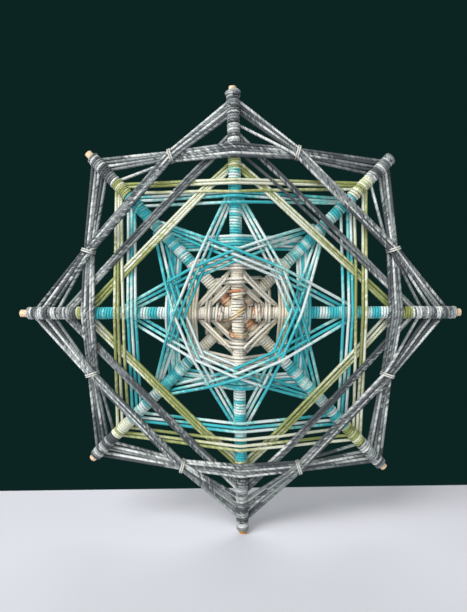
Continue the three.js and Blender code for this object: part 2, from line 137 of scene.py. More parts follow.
# The arms that a diamond, a square and the star go round, in order
CROSS = (0, 2, 4, 6)
SLANT = (1, 3, 5, 7)
STAR = (0, 3, 6, 1, 4, 7, 2, 5)

# Each winding: its yarn, the arms it goes round, and how far out in mm each loop starts, with the end of
# the last, on the upright and level arms and then on the slanting ones. The outer windings are wound from
# their outermost loop inwards.
WINDINGS = {
    "eye_square_small": ("rust", SLANT, (), (10.6, 13.0, 15.4, 17.8)),
    "eye_diamond_inner": ("cream", CROSS, (19.4, 22.2, 25.0), ()),
    "eye_square": ("cream", SLANT, (), (21.6, 25.0, 28.4)),
    "eye_diamond_outer": ("cream", CROSS, (26.8, 29.6, 32.4), ()),
    "cream_square": ("cream", SLANT, (), (35.6, 38.6, 41.6, 44.4, 47.2)),
    "aqua_square_inner": ("aqua", SLANT, (), (55.0, 57.8, 60.6, 63.4, 66.0, 68.6)),
    "aqua_star": ("aqua", STAR, (66.5, 73.0, 79.5, 83.5), (68.6, 75.0, 80.6, 84.0)),
    "aqua_square_outer": ("aqua", SLANT, (), (109.4, 105.6, 101.8, 97.4)),
    "green_diamond": ("green", CROSS, (110.6, 107.2, 103.8, 100.2), ()),
    "green_square": ("green", SLANT, (), (125.0, 121.6, 117.2, 110.2)),
    "grey_diamond_inner": ("grey", CROSS, (123.6, 121.6, 119.6, 117.8), ()),
    "grey_square": ("grey", SLANT, (), (146.4, 143.2, 139.8, 136.4, 133.0, 125.6)),
    "grey_diamond_lone": ("grey", CROSS, (126.8, 124.2), ()),
    "grey_diamond_outer": ("grey", CROSS, (144.6, 141.0, 137.4, 133.8, 130.4), ()),
}
# Where a winding lies differently on one arm. On the arm that it starts from, one more value can say where
# its last strand arrives.
ARM_OUTS = {
    ("eye_square_small", 1): (8.8, 11.2, 13.6, 16.6),
    ("eye_square_small", 7): (8.8, 11.2, 13.6, 16.6),
    ("aqua_square_outer", 1): (111.8, 109.6, 106.0, 99.4, 104.6),
    ("aqua_square_outer", 7): (110.0, 106.8, 103.4, 98.4),
    ("green_diamond", 0): (105.6, 102.4, 99.4, 96.4),
    ("green_diamond", 2): (112.4, 109.0, 105.6, 101.6),
    ("green_square", 1): (127.8, 124.8, 121.8, 112.2, 118.4),
    ("green_square", 7): (122.4, 119.8, 116.8, 110.6),
    ("grey_diamond_inner", 0): (124.9, 121.8, 118.5, 108.4, 115.4),
    ("grey_diamond_inner", 4): (127.2, 124.6, 121.6, 118.6),
    ("grey_diamond_inner", 6): (124.0, 121.0, 118.8, 116.2),
    ("grey_square", 1): (148.6, 146.6, 143.6, 140.6, 137.4, 128.6, 134.0),
    ("grey_square", 7): (146.4, 143.2, 139.8, 136.4, 133.0, 122.8),
    ("grey_diamond_lone", 0): (134.4, 125.6, 133.0),
    ("grey_diamond_lone", 4): (131.0, 127.6),
    ("grey_diamond_lone", 6): (130.0, 125.0),
    ("grey_diamond_outer", 0): (145.8, 143.2, 140.4, 137.6, 134.8),
    ("grey_diamond_outer", 4): (146.2, 143.2, 139.8, 136.2, 132.2),
}
EYE = ("eye_square_small", "eye_diamond_inner", "eye_square", "eye_diamond_outer")
CREAM = ("cream_square",)
AQUA = ("aqua_square_inner", "aqua_star", "aqua_square_outer")
GREEN = ("green_diamond", "green_square")
GREY = ("grey_diamond_inner", "grey_square", "grey_diamond_lone", "grey_diamond_outer")

# Stretches of arm that are only wrapped: the yarn, and where the wrapping starts and ends, in mm out or as
# the winding before or after it. The tips go on to the bare end.
CROSS_COVERS = {
    "cover_eye": ("cream", 7.4, "eye_diamond_inner"),
    "cover_core": ("cream", "eye_diamond_inner", "eye_diamond_outer"),
    "cover_ring": ("cream", "eye_diamond_outer", 41.8),
    "cover_inner": ("aqua", 41.8, "aqua_star"),
    "cover_outer": ("aqua", "aqua_star", "green_diamond"),
    "cover_edge": ("grey", "green_diamond", "grey_diamond_inner"),
    "cover_grey": ("grey", "grey_diamond_lone", "grey_diamond_outer"),
    "cover_tip": ("grey", "grey_diamond_outer", None),
}
SLANT_COVERS = {
    "cover_hub": ("rust", 6.0, "eye_square_small"),
    "cover_core": ("cream", "eye_square_small", "eye_square"),
    "cover_ring": ("cream", "eye_square", "cream_square"),
    "cover_inner": ("aqua", "cream_square", "aqua_square_inner"),
    "cover_wing": ("aqua", "aqua_star", "aqua_square_outer"),
    "cover_corner": ("green", "aqua_square_outer", "green_square"),
    "cover_green": ("green", "green_square", "grey_square"),
    "cover_tip": ("grey", "grey_square", None),
}
# Where a stretch of arm has a yarn of its own
ARM_YARNS = {("cover_edge", 2): "green", ("cover_outer", 4): "turquoise", ("cover_outer", 6): "turquoise",
             ("cover_wing", 7): "turquoise"}
# The shortest stretch that is wrapped, in turns
SHORTEST_COVER = 1 / 3
# The binding at the top tip: where each layer starts and ends in mm out, and its lift in diameters of yarn
TOP_BINDING = ((142.6, 146.0, 0.3), (146.0, 143.0, 0.4))
BINDING_TURNS = 1.5

# Where along its dyed yarn a piece starts, in metres, so that like pieces don't all show the same stretch
WINDING_START = 1.37
COVER_START = 0.147
COVER_START_BY_OUT = 0.003
TIE_START = 0.31
TIE_START_BY_SIDE = 0.05
HUB_START = 0.1
HUB_SIDE_START = 0.2

# How yarn lies on a stick and on other yarn, in diameters of the yarn there
ARRIVE_LIFT = 1.15
LEAVE_LIFT = 0.7
CROSSING_SPACING = 0.75
PASS_LIFT = 1.15
TIE_THICKNESS = 0.56
LASHING_THICKNESS = 0.85

# A strand from arm to arm
LEAVE_SLIP = 0.8  # turns by which it slips back along the stick that it leaves
STEEPEST_LEAVE = math.radians(78)
FLATTEST_LEAVE = math.radians(-12)
FIRST_LEAVE = 0.3  # radians, the angle that it is first tried at
LEAVE_TRIES = 3
LEAST_ACROSS = 0.05  # share of it that runs across the stick, at least
END_CLEARANCE = 6.0  # mm at its ends in which it isn't lifted over other strands
PASS_SHARES = (-0.85, -0.5, 0.0, 0.5, 0.85)  # places across an arm where it is held in front
PARALLEL = 1e-9

# Handwork: the mm by which a loop strays on its arm, and how that differs from arm to arm and loop to loop
HAND_STRAY = 0.4
STRAY_BY_ARM = 7.3
STRAY_BY_LOOP = 2.9

# The spun yarn
WRAP_SAMPLES = 18  # points in a turn round a stick
FEWEST_SECTIONS = 4
EASE_ROUNDS = 2
SAME_PLACE = 1e-7  # metres
PLIES = 3
PLY_CORNERS = 4
PLY_TONES = (0.5, -0.5, 0.0)  # how differently each ply took the dye
WRAP_EVENING = 0.7  # how far the plies even out in a turn round a stick
RING_SHADE = 1.3  # how dark the painted shade on the sides of such turns is, where they touch

# How far out the strands of the star pass the two arms between its points, in mm for each loop
STAR_PASS = (35.0, 38.6, 42.2)

# How far out along each arm the strands of a square are drawn where they pass it, in mm
PASS_DRAWN = {
    "aqua_square_outer": {0: 1.4, 2: 0.2, 4: 1.3, 6: -1.4},
    "green_square": {0: -0.9, 2: -1.6, 4: 2.4, 6: -2.2},
}

# The hub: how far out its half turns go in mm, how far round the stick, and the gaps between arms that each
# pass of the lashing goes from and to, in front and behind by turns
HUB_REACH = 7.0
HALF_TURN = math.radians(100)
LASHING = ((5, 1), (1, 5), (5, 1))
LASHING_STEEPER = 0.85
LASHING_OVER = 0.9  # diameters of yarn over the turns on the outermost stick
LASHING_UNDER = -0.4  # and under those on the others

# The grey square and its ties to the outer diamond, in mm: how far out the square passes each arm, how far
# out and how far aside the ties before and after the arm are, and the spacing of strands in a tie and on
# the arm
PASS_OUTS = {0: 106.8, 2: 105.5, 4: 105.7, 6: 101.4}
TIE_OUTS = {0: (106.0, 106.0), 2: (105.3, 101.8), 4: (106.6, 105.2), 6: (101.5, 101.8)}
TIE_ASIDES = {0: (42.5, 42.5), 2: (42.5, 42.5), 4: (39.4, 40.6), 6: (42.5, 42.5)}
TIE_ROW = 1.35
PASS_ROW = 1.9
TIE_LEAN = math.radians(20)
TIE_TURNS = 2
TIE_SAMPLES = 28
TIE_GRASP = 6.0  # mm from its middle in which a tie takes hold of strands
TIE_SQUARENESS = 0.7  # 1 would be an oval, and less is squarer

# The dowels
DOWEL_SIDES = 32
DOWEL_CUTS = 24
RIM_STEPS = 2
RING_PART = 5  # the ring on a sawn end is as wide as the diameter divided by this
CAP_FACING = 0.99  # how squarely a sawn end faces along the stick, at least
SIDE_FACING = 0.9  # faces turned less than this along the stick are shaded smooth
SWELL = 0.012  # share of the radius by which a dowel is thicker or thinner
SWELL_WAVE = 0.054  # radians of the swell for each mm along it
SWELL_SHIFT = 4.8  # radians from one stick to the next

# The yarn's surface: spans of dye and of fibre in mm, and how fibres shade it, with painted shade in its
# grooves and on the tucked sides of turns and strands
DYE_WANDER = 60
DYE_FLECK = 4
FIBRE_FLECK = 0.7
FIBRE_BASE = 0.8
FIBRE_CONTRAST = 0.7
# The next three are painted shade: in the grooves between plies and on the sides of turns and strands
GROOVE_SHADE = -0.22
PAINTED_SIDE_SHADE = -0.66
PAINTED_SIDE_FADE = 2.5


def smooth(share):
    """Eases a share from 0 to 1."""
    share = min(max(share, 0.0), 1.0)
    return share * share * (3 - 2 * share)


def stick_depth(order, sizes):
    """How far back a stick's axis is, in metres."""
    return (order - (len(STICKS) - 1) / 2) * sizes.stick_spacing


class Arm:
    """Half a stick: the way out along it, the clockwise way across it, the depth of its axis, and how far
    out its wrapping ends."""

    def __init__(self, index, sizes):
        angle, slide = list(STICKS.values())[ARM_STICKS[index]]
        heading = math.radians(angle)
        if ARM_ENDS[index] < 0:
            heading += math.pi
        self.name = ARM_NAMES[index]
        self.out = Vector((math.cos(heading), math.sin(heading)))
        self.across = Vector((math.sin(heading), -math.cos(heading)))
        self.axis = Vector((self.out.x, 0, self.out.y))
        self.depth = stick_depth(ARM_STICKS[index], sizes) / MM
        self.tip = sizes.stick_length / MM / 2 - BARE_ENDS[index] + ARM_ENDS[index] * slide

    def plan(self, out, across):
        """A place by the arm, as seen from the front."""
        return self.out * out + self.across * across

    def place(self, out, across, back):
        """A place by the arm, so far behind its axis."""
        flat = self.plan(out, across)
        return Vector((flat.x, self.depth + back, flat.y))


class Strand:
    """A taut stretch of yarn: its plan as seen from the front, and its depth along that plan."""

    def __init__(self, plan):
        self.plan = [Vector(point) for point in plan]
        self.ends = [0.0]
        for first, second in zip(self.plan, self.plan[1:]):
            self.ends.append(self.ends[-1] + (second - first).length)
        self.stations = []
        self.depths = []

    def depth_at(self, station):
        """How far back the strand is at a station."""
        return float(np.interp(station, self.stations, self.depths))

    def points(self):
        """Its ends and bends in space."""
        marks = sorted(set(self.stations) | set(self.ends))
        xs = np.interp(marks, self.ends, [point.x for point in self.plan])
        zs = np.interp(marks, self.ends, [point.y for point in self.plan])
        return [Vector((x, self.depth_at(mark), z)) for x, mark, z in zip(xs, marks, zs)]

    def crossings(self, other):
        """Where the two plans cross, as stations along each."""
        found = []
        for i, (a, b) in enumerate(zip(self.plan, self.plan[1:])):
            for j, (c, d) in enumerate(zip(other.plan, other.plan[1:])):
                first, second, apart = b - a, d - c, c - a
                area = first.cross(second)
                if abs(area) < PARALLEL:
                    continue
                s = apart.cross(second) / area
                t = apart.cross(first) / area
                if 0 <= s <= 1 and 0 <= t <= 1:
                    found.append((self.ends[i] + s * first.length, other.ends[j] + t * second.length))
        return found

    def pull_taut(self, start_depth, end_depth, bounds):
        """Pulls the strand straight, in front of everything it passes: a lower convex hull."""
        places = [(0.0, start_depth), *sorted(bounds), (self.ends[-1], end_depth)]
        hull = []
        for place in places:
            while len(hull) >= 2:
                (s0, y0), (s1, y1) = hull[-2], hull[-1]
                if (s1 - s0) * (place[1] - y1) - (y1 - y0) * (place[0] - s1) > 0:
                    break
                hull.pop()
            hull.append(place)
        self.stations = [station for station, depth in hull]
        self.depths = [depth for station, depth in hull]

    def tangent(self, end, arm):
        """The angle round a stick, from behind it, at which the strand comes free of it."""
        if end == 0:
            rise = self.depths[0] - self.depths[1]
            run = self.stations[1] - self.stations[0]
            flat = (self.plan[1] - self.plan[0]).normalized()
        else:
            rise = self.depths[-1] - self.depths[-2]
            run = self.stations[-1] - self.stations[-2]
            flat = (self.plan[-1] - self.plan[-2]).normalized()
        angle = math.atan2(rise / run, max(abs(flat.dot(arm.across)), LEAST_ACROSS))
        return min(max(angle, FLATTEST_LEAVE), STEEPEST_LEAVE)


class Winder:
    """Lays yarn one stretch after another, each in front of what is already there.

    Its paths are lists of (point, axis) in mm. The axis is that of the stick that the yarn is wrapped on,
    and is zero where there is none."""

    def __init__(self, sizes):
        self.strand = sizes.yarn_diameter / MM
        self.yarn = sizes.wrap_diameter / MM
        self.pitch = sizes.wrap_pitch / MM
        self.reach = (sizes.stick_diameter / 2 + sizes.wrap_diameter / 2 - sizes.wrap_sink) / MM
        self.pass_reach = self.reach + self.yarn * PASS_LIFT
        self.arms = [Arm(index, sizes) for index in range(len(ARM_NAMES))]
        self.laid = []

    def arm_bounds(self, strand, skipped):
        """How far forward the strand has to be where it passes an arm."""
        bounds = []
        for index, arm in enumerate(self.arms):
            if index in skipped:
                continue
            for i, (a, b) in enumerate(zip(strand.plan, strand.plan[1:])):
                here, there = a.dot(arm.across), b.dot(arm.across)
                if here < 0 <= there and (a + b).dot(arm.out) > 0:
                    rate = (there - here) / (b - a).length
                    middle = strand.ends[i] - here / rate
                    for share in PASS_SHARES:
                        front = arm.depth - self.pass_reach * math.sqrt(1 - share * share)
                        bounds.append((middle + share * self.pass_reach / rate, front))
        return [(station, depth) for station, depth in bounds if 0 < station < strand.ends[-1]]

    def strand_bounds(self, strand):
        """How far forward the strand has to be where it crosses the strands before it."""
        bounds = []
        for earlier in self.laid:
            for station, other in strand.crossings(earlier):
                if END_CLEARANCE < station < strand.ends[-1] - END_CLEARANCE:
                    bounds.append((station, earlier.depth_at(other) - self.strand * CROSSING_SPACING))
        return bounds

    def run(self, start, start_out, end, end_out, via=()):
        """One strand from behind one arm to behind another, with the angles it leaves and arrives at."""
        leave = arrive = FIRST_LEAVE
        leave_reach = self.reach + self.yarn * LEAVE_LIFT
        arrive_reach = self.reach + self.yarn * ARRIVE_LIFT
        first, last = self.arms[start], self.arms[end]
        for attempt in range(LEAVE_TRIES):
            a = first.place(start_out, leave_reach * math.sin(leave), leave_reach * math.cos(leave))
            b = last.place(end_out, -arrive_reach * math.sin(arrive), arrive_reach * math.cos(arrive))
            strand = Strand([(a.x, a.z), *via, (b.x, b.z)])
            bounds = self.arm_bounds(strand, (start, end)) + self.strand_bounds(strand)
            strand.pull_taut(a.y, b.y, bounds)
            leave = strand.tangent(0, first)
            arrive = strand.tangent(-1, last)
        self.laid.append(strand)
        return strand, leave, arrive

    def turn(self, index, out, wraps, pitch, arrive, leave):
        """Turns of yarn round an arm, from where a strand arrives behind it to where the next leaves."""
        arm = self.arms[index]
        full = 2 * math.pi * wraps
        sweep = full + arrive + leave
        steps = math.ceil(sweep / (2 * math.pi) * WRAP_SAMPLES)
        path = []
        for step in range(steps + 1):
            angle = -arrive + sweep * step / steps
            arriving = 1 - smooth(angle / (math.pi / 2))
            leaving = smooth((angle - full) / (math.pi / 2) + 1)
            along = min(max(angle / full, 0), 1) * wraps - LEAVE_SLIP * leaving
            reach = self.reach + self.yarn * (ARRIVE_LIFT * arriving + LEAVE_LIFT * leaving)
            point = arm.place(out + along * pitch, reach * math.sin(angle), reach * math.cos(angle))
            path.append((point, arm.axis))
        return path

    def turns_between(self, first, last):
        """How many turns cover a stretch of an arm."""
        return max(1, math.ceil(abs(last - first) / self.pitch))

    def stops(self, arms, outs):
        """The order in which a winding visits the arms: (arm, way out, turns, pitch) for each visit."""
        loops = min(len(places) for places in outs.values()) - 1
        order = []
        for loop in range(loops):
            for arm in arms:
                out = outs[arm][loop] + self.stray(arm, loop, loops)
                following = outs[arm][loop + 1] + self.stray(arm, loop + 1, loops)
                turns = self.turns_between(out, following)
                order.append((arm, out, turns, (following - out) / turns))
        return [*order, (arms[0], outs[arms[0]][-1], 1, order[-1][3])]

    @staticmethod
    def stray(arm, loop, loops):
        """How far a loop strays along its arm. The ends of a winding stay, so that they meet the covers."""
        if not 0 < loop < loops:
            return 0.0
        return HAND_STRAY * math.sin(STRAY_BY_ARM * arm + STRAY_BY_LOOP * loop)

    def wind(self, arms, outs, via):
        """A whole winding: strands from arm to arm, with turns of yarn round each arm."""
        order = self.stops(arms, outs)
        path = []
        arrive = FIRST_LEAVE
        for number, (arm, out, turns, pitch) in enumerate(order[:-1]):
            following, next_out = order[number + 1][:2]
            leave_out = out + (turns - LEAVE_SLIP) * pitch
            led = via(arm, following, number // len(arms)) if via else ()
            strand, leave, next_arrive = self.run(arm, leave_out, following, next_out, led)
            path += self.turn(arm, out, turns, pitch, arrive, leave)
            path += [(point, Vector()) for point in strand.points()[1:-1]]
            arrive = next_arrive
        arm, out, turns, pitch = order[-1]
        return path + self.turn(arm, out, turns, pitch, arrive, FIRST_LEAVE)

    def coil(self, index, first, last, lift=0.0, turns=None):
        """Turns of yarn along a stretch of an arm, close together unless their number is given."""
        arm = self.arms[index]
        turns = turns or self.turns_between(first, last)
        steps = round(turns * WRAP_SAMPLES)
        reach = self.reach + lift
        path = []
        for step in range(steps + 1):
            angle = 2 * math.pi * turns * step / steps
            out = first + (last - first) * step / steps
            path.append((arm.place(out, reach * math.sin(angle), reach * math.cos(angle)), arm.axis))
        return path

    def half_turns(self, index, first, last):
        """Yarn laid to and fro across the front of an arm, where another stick is close behind it."""
        arm = self.arms[index]
        passes = round((last - first) / self.pitch) + 1
        steps = WRAP_SAMPLES // 2
        path = []
        for number in range(passes):
            out = first + (last - first) * number / (passes - 1)
            for step in range(steps + 1):
                share = step / steps * 2 - 1
                angle = HALF_TURN * (share if number % 2 == 0 else -share)
                point = arm.place(out, self.reach * math.sin(angle), -self.reach * math.cos(angle))
                path.append((point, arm.axis))
        return path

    def star_pass(self, start, end, loop):
        """Where a strand of the star passes the two arms between its points."""
        count = len(self.arms)
        return [self.arms[(start + step) % count].plan(STAR_PASS[loop], 0) for step in (1, 2)]

    def drawn_pass(self, name):
        """Gives the way to find where a strand of a square passes the arm between its ends."""
        def lead(start, end, loop):
            index = (start + 1) % len(self.arms)
            arm = self.arms[index]
            next_loop = loop + 1 if end == WINDINGS[name][1][0] else loop
            here = self.arms[start].plan(outs_on(name, start)[loop + 1] + LEAVE_SLIP * self.pitch, 0)
            there = self.arms[end].plan(outs_on(name, end)[next_loop], 0)
            before, after = here.dot(arm.across), there.dot(arm.across)
            straight = here.lerp(there, before / (before - after)).dot(arm.out)
            return [arm.plan(straight + PASS_DRAWN[name][index], 0)]
        return lead

    def square_ties(self, start, end, loop):
        """Where a strand of the grey square goes through two ties, on either side of an arm."""
        index = (start + 1) % len(self.arms)
        arm = self.arms[index]
        (before, after), (left, right) = TIE_OUTS[index], TIE_ASIDES[index]
        rank = (len(WINDINGS["grey_square"][3]) - 2) / 2 - loop
        row, spread = rank * TIE_ROW, rank * PASS_ROW
        return [arm.plan(before + row, -left), arm.plan(PASS_OUTS[index] + spread, 0),
                arm.plan(after + row, right)]

    def lone_ties(self, start, end, loop):
        """Where the lone strand goes through the ties: inside the others."""
        return self.diamond_ties(start, end, len(WINDINGS["grey_diamond_outer"][2]) - 1)

    def diamond_ties(self, start, end, loop):
        """Where a strand of the outer diamond goes through the ties beside the arms at its ends, counted
        with the lone strand."""
        rank = (len(WINDINGS["grey_diamond_outer"][2]) - 1) / 2 - loop
        row = rank * TIE_ROW * math.sqrt(0.5)
        return [self.arms[start].plan(TIE_OUTS[start][1] + row, TIE_ASIDES[start][1] + row),
                self.arms[end].plan(TIE_OUTS[end][0] + row, -TIE_ASIDES[end][0] - row)]


# What the operators share: the winder, which knows the strands laid so far, and the yarns
loom = {}


def ply_section(sizes, thickness):
    """The outline of the yarn across its length: a rounded lobe for each ply."""
    curve = bpy.data.curves.new("ply_section", "CURVE")
    curve.dimensions = "2D"
    outline = curve.splines.new("POLY")
    outline.use_cyclic_u = True
    corners = PLIES * PLY_CORNERS
    outline.points.add(corners - 1)
    for corner, point in enumerate(outline.points):
        angle = 2 * math.pi * corner / corners
        sunk = (1 - math.cos(PLIES * angle)) / 2
        radius = sizes.yarn_diameter / 2 * thickness - sizes.ply_groove / 2 * sunk
        point.co = (radius * math.cos(angle), radius * math.sin(angle), 0, 1)
    section = bpy.data.objects.new("ply_section", curve)
    bpy.context.scene.collection.objects.link(section)
    return section


def even_path(path, step):
    """Points at even steps along a path, in metres, with their distance along it and their axes."""
    points = np.array([tuple(point) for point, axis in path]) * MM
    axes = np.array([tuple(axis) for point, axis in path])
    gaps = np.linalg.norm(np.diff(points, axis=0), axis=1)
    kept = np.concatenate([[True], gaps > SAME_PLACE])
    points, axes = points[kept], axes[kept]
    marks = np.concatenate([[0], np.cumsum(np.linalg.norm(np.diff(points, axis=0), axis=1))])
    even = np.linspace(0, marks[-1], max(FEWEST_SECTIONS, int(marks[-1] / step)))
    points = np.stack([np.interp(even, marks, points[:, i]) for i in range(3)], axis=1)
    axes = np.stack([np.interp(even, marks, axes[:, i]) for i in range(3)], axis=1)
    for ease in range(EASE_ROUNDS):
        points[1:-1] = (points[:-2] + 2 * points[1:-1] + points[2:]) / 4
    return points, even, axes


def spin_yarn(name, path, sizes, start=0.0, thickness=1.0):
    """Sweeps the plied section along a path, with the plies twisting round each other.

    The yarn takes its wrapped width where it lies on a stick. Attributes tell the material how far along
    the yarn a point is, which ply it is on, whether it is in a groove between plies, where it gets painted
    shade, and how much painted shade it gets where it is tucked away at the side, between two turns on a
    stick or two strands."""
    points, even, axes = even_path(path, sizes.sample_step)
    section = ply_section(sizes, thickness)
    curve = bpy.data.curves.new(name, "CURVE")
    curve.dimensions = "3D"
    curve.twist_mode = "MINIMUM"
    curve.bevel_mode = "OBJECT"
    curve.bevel_object = section
    spline = curve.splines.new("POLY")
    spline.points.add(len(points) - 1)
    spline.points.foreach_set("co", np.column_stack([points, np.ones(len(points))]).ravel())
    spline.points.foreach_set("tilt", even / sizes.ply_turn * 2 * math.pi)
    tight = np.minimum(np.linalg.norm(axes, axis=1), 1)
    spline.points.foreach_set("radius", 1 - (1 - sizes.wrap_diameter / sizes.yarn_diameter) * tight)
    guide = bpy.data.objects.new(name + "_path", curve)
    bpy.context.scene.collection.objects.link(guide)
    mesh = bpy.data.meshes.new_from_object(guide.evaluated_get(bpy.context.evaluated_depsgraph_get()))
    mesh.name = name
    for spent in (guide, section):
        data = spent.data
        bpy.data.objects.remove(spent)
        bpy.data.curves.remove(data)
    corners = PLIES * PLY_CORNERS
    count = len(mesh.vertices)
    if count != len(points) * corners:
        raise RuntimeError(f"{name}: {count} vertices for {len(points)} sections")
    ring, corner = np.divmod(np.arange(count), corners)
    places = np.empty(count * 3)
    mesh.vertices.foreach_get("co", places)
    off = places.reshape(-1, 3) - points[ring]
    off /= np.linalg.norm(off, axis=1, keepdims=True)
    loose = 1 - WRAP_EVENING * tight[ring]
    sunk = (1 - np.cos(2 * np.pi * corner / PLY_CORNERS)) / 2
    ply = np.rint(corner / PLY_CORNERS).astype(int) % PLIES
    values = {
        "along": even[ring] + start,
        # painted shade in the grooves between plies
        "groove": sunk * loose,
        "ply": 0.5 + np.array(PLY_TONES)[ply] * (1 - sunk) * loose,
        # painted shade: the sides of a turn that face along its stick, where it touches the next turn, and
        # the sides of a strand are darkened
        "painted_side_shade": np.abs(np.sum(off * axes[ring], axis=1)) * RING_SHADE
        + np.hypot(off[:, 0], off[:, 2]) * (1 - tight[ring]),
    }
    for attribute, numbers in values.items():
        layer = mesh.attributes.new(attribute, "FLOAT", "POINT")
        layer.data.foreach_set("value", np.asarray(numbers, np.float32))
    shape = bmesh.new()
    shape.from_mesh(mesh)
    bmesh.ops.holes_fill(shape, edges=shape.edges[:], sides=corners)
    bmesh.ops.recalc_face_normals(shape, faces=shape.faces[:])
    for face in shape.faces:
        face.smooth = True
    shape.to_mesh(mesh)
    shape.free()
    piece = bpy.data.objects.new(name, mesh)
    bpy.context.scene.collection.objects.link(piece)
    return piece


def lay_yarn(context, name, path, yarn, start=0.0, thickness=1.0, nodes=()):
    """Spins yarn along a path and finishes the piece."""
    piece = spin_yarn(name, path, context.scene.mandala_sizes, start, thickness)
    finish_piece(piece, loom["yarns"][yarn], nodes)


def finish_piece(piece, material, nodes):
    """Gives a piece its material, its body and the nodes it stands for."""
    piece.data.materials.append(material)
    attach(piece, "root")
    if nodes:
        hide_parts(*nodes)


def add_node(tree, kind, inputs=None, stops=(), **settings):
    """Adds one shader node, with its settings, its colour stops and values or links for its inputs."""
    node = tree.nodes.new(kind)
    for key, value in settings.items():
        setattr(node, key, value)
    for key, value in (inputs or {}).items():
        socket = node.inputs[key]
        if isinstance(value, bpy.types.NodeSocket):
            tree.links.new(value, socket)
        else:
            socket.default_value = value
    for number, (position, value) in enumerate(stops):
        elements = node.color_ramp.elements
        element = elements[number] if number < len(elements) else elements.new(1)
        element.position = position
        element.color = (*value, 1)
    return node


def start_material(name, finish):
    """Starts a material whose shader has this finish; gives the material, its tree and the shader."""
    material = bpy.data.materials.new(name)
    material.use_nodes = True
    tree = material.node_tree
    shader = tree.nodes["Principled BSDF"]
    for key, value in finish.items():
        shader.inputs[key].default_value = value
    return material, tree, shader


def yarn_material(name, stops, repeat, stray, ply_shift, speckle):
    """Plied cotton yarn, space dyed along its length: matte, soft at its edges, with painted shade in the
    grooves between its plies and on the sides of its turns and strands.

    repeat is the length of yarn in mm in which the dye comes round, stray how far it wanders, ply_shift
    how differently the plies took it and speckle how broken up it is, as shares of that length."""
    finish = {"Roughness": 0.88, "Specular IOR Level": 0.25, "Sheen Weight": 0.15, "Sheen Roughness": 0.5}
    material, tree, shader = start_material(name, finish)
    along, groove, ply, painted_side_shade = (
        add_node(tree, "ShaderNodeAttribute", attribute_name=key).outputs["Fac"]
        for key in ("along", "groove", "ply", "painted_side_shade"))
    turns = add_node(tree, "ShaderNodeMath", {0: along, 1: 1 / (repeat * MM)}, operation="MULTIPLY")
    place = turns.outputs[0]
    # The dye wanders over long spans of yarn, and breaks up into short flecks
    for span, amount in ((DYE_WANDER, stray), (DYE_FLECK, speckle)):
        at = add_node(tree, "ShaderNodeMath", {0: along, 1: 1 / (span * MM)}, operation="MULTIPLY")
        noise = add_node(tree, "ShaderNodeTexNoise", {"W": at.outputs[0], "Scale": 1.0, "Detail": 2.0},
                         noise_dimensions="1D")
        place = add_node(tree, "ShaderNodeMath", {0: noise.outputs["Fac"], 1: amount, 2: place},
                         operation="MULTIPLY_ADD").outputs[0]
    place = add_node(tree, "ShaderNodeMath", {0: ply, 1: ply_shift, 2: place},
                     operation="MULTIPLY_ADD").outputs[0]
    share = add_node(tree, "ShaderNodeMath", {0: place}, operation="FRACT")
    dye = add_node(tree, "ShaderNodeValToRGB", {"Fac": share.outputs[0]}, stops)
    # Fibres catch the light in streaks a few hundredths of a millimetre wide, drawn here as coarser flecks
    # so that they show
    where = add_node(tree, "ShaderNodeTexCoord").outputs["Object"]
    fibre = add_node(tree, "ShaderNodeTexNoise",
                     {"Vector": where, "Scale": 1 / (FIBRE_FLECK * MM), "Detail": 2.0})
    # Painted shade: the grooves between plies and the sides of turns and strands are darkened in the base
    # colour
    side_darkness = add_node(tree, "ShaderNodeMath", {0: painted_side_shade, 1: PAINTED_SIDE_FADE}, operation="POWER")
    tone = FIBRE_BASE
    shades = ((fibre.outputs["Fac"], FIBRE_CONTRAST), (groove, GROOVE_SHADE), (side_darkness.outputs[0], PAINTED_SIDE_SHADE))
    for source, amount in shades:
        tone = add_node(tree, "ShaderNodeMath", {0: source, 1: amount, 2: tone},
                        operation="MULTIPLY_ADD").outputs[0]
    toned = add_node(tree, "ShaderNodeVectorMath", {0: dye.outputs["Color"], "Scale": tone},
                     operation="SCALE")
    tree.links.new(toned.outputs["Vector"], shader.inputs["Base Color"])
    bump = add_node(tree, "ShaderNodeBump",
                    {"Height": fibre.outputs["Fac"], "Strength": 0.5, "Distance": 0.1 * MM})
    tree.links.new(bump.outputs["Normal"], shader.inputs["Normal"])
    return material


